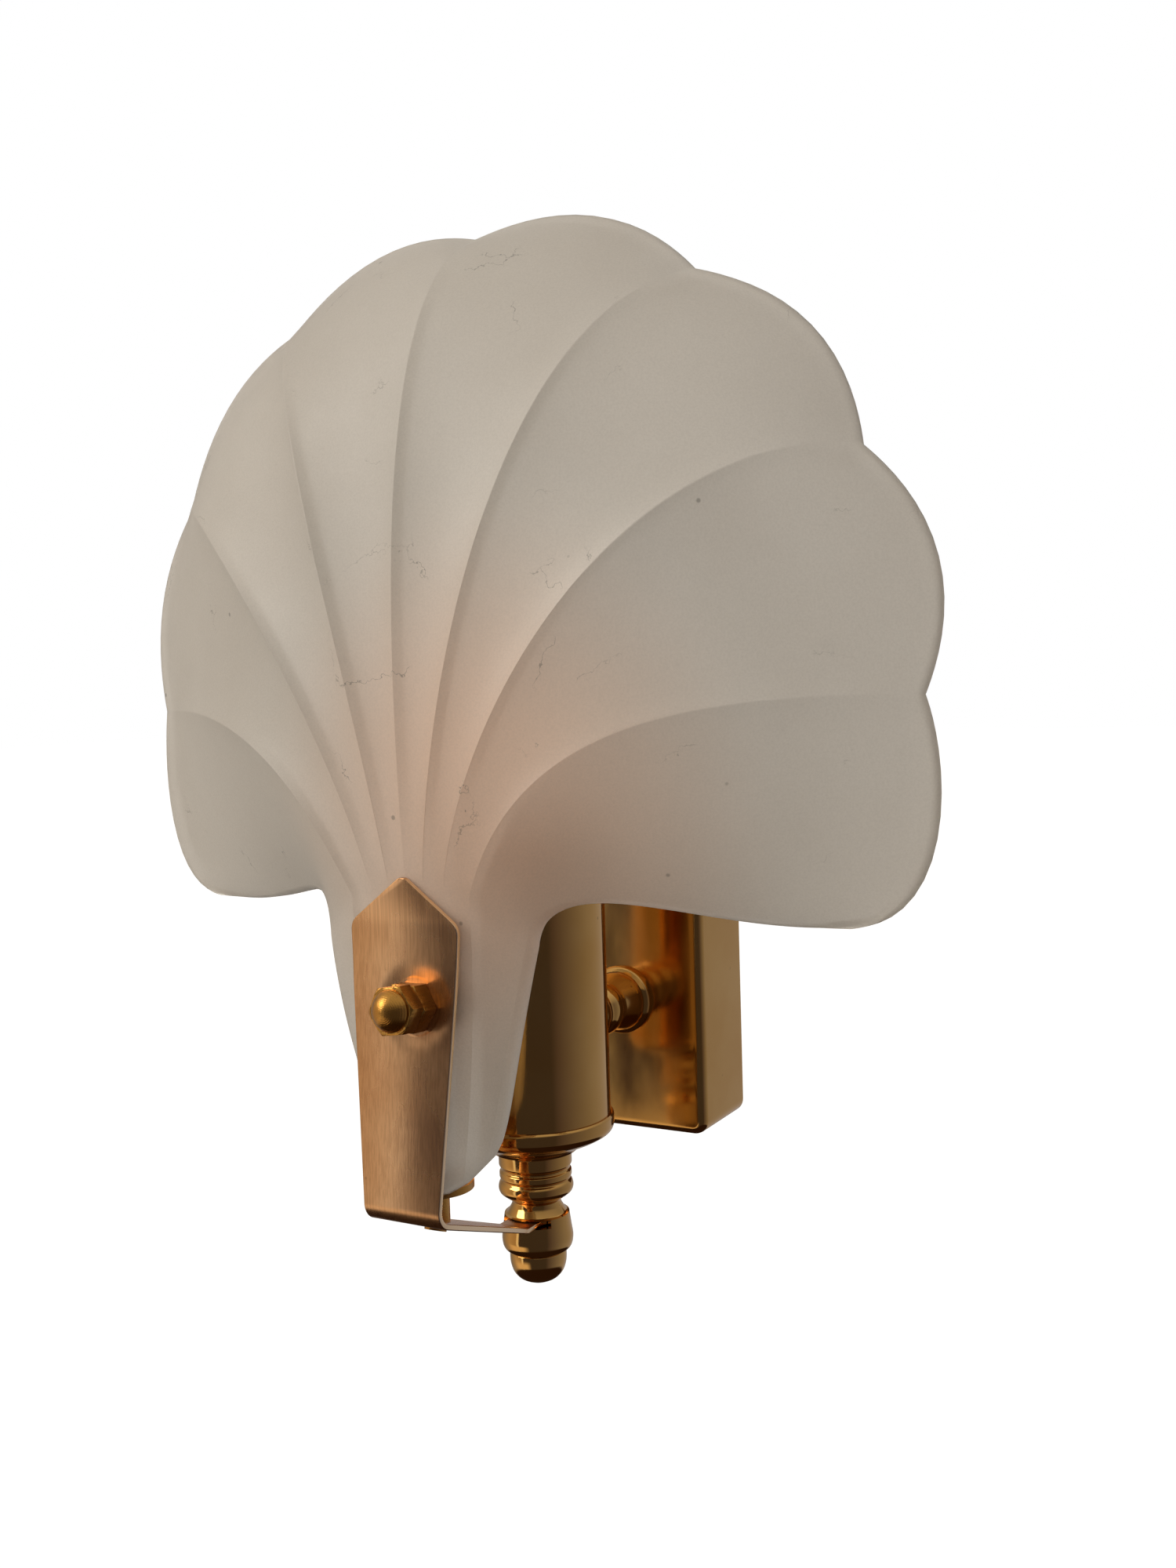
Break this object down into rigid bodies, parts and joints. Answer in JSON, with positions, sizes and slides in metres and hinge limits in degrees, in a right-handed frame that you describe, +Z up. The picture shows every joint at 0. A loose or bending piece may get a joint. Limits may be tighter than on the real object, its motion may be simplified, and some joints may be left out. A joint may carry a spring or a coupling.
{
  "type": "wall sconce",
  "caption": "Wall sconce with a fluted frosted glass palmette held in front of a lamp tube by a bent brass strip, on a short arm and a box cover.",
  "frame": {"origin": "on the wall plane, on the axis of the arm, in the plane of symmetry", "axes": "+Z up, +Y into the wall, the shade faces -Y"},
  "size_m": [0.2132, 0.1378, 0.2518],
  "materials": {
    "frosted_glass": "satin etched",
    "brushed_brass": "brushed",
    "polished_brass": "polished",
    "steel": "zinc plated",
    "socket_plastic": "matte",
    "block_plastic": "matte",
    "fibre": "matte"
  },
  "bodies": {
    "fixture": {"lamp_tube": "polished_brass", "tube_cap": "polished_brass", "finial_neck": "polished_brass", "finial_ball": "polished_brass", "finial_cup": "polished_brass", "stem_pipe": "steel", "cap_nut": "steel", "arm_body": "polished_brass", "arm_flange": "polished_brass", "arm_nipple": "steel", "nipple_washers": "steel", "nipple_nuts": "steel", "wall_cover": "polished_brass", "wall_strap": "steel", "cover_screws": "polished_brass", "earth_washer": "polished_brass", "earth_screw": "polished_brass", "terminal_block": "block_plastic", "terminal_tubes": "polished_brass", "terminal_screws": "steel", "block_screw": "steel", "holder_base": "socket_plastic", "holder_core": "block_plastic", "holder_sleeve": "socket_plastic", "screw_shell": "polished_brass", "centre_contact": "polished_brass", "side_contact": "polished_brass", "holder_screws": "polished_brass"},
    "shade": {"glass_shell": "frosted_glass", "glass_bracket": "brushed_brass", "shade_stud": "polished_brass", "bracket_hex_nut": "polished_brass", "acorn_nut": "polished_brass", "front_washer": "fibre", "stud_sleeve": "fibre", "rear_washer": "fibre", "rear_hex_nut": "polished_brass", "rest_disc": "polished_brass", "rest_post": "polished_brass"}
  },
  "joints": [
    {"name": "shade_swivel", "type": "hinge", "parent": "fixture", "child": "shade", "pos_m": [0, -0.0735, -0.0458], "axis": [0, 0, 1], "range_deg": [-12, 12]}
  ]
}
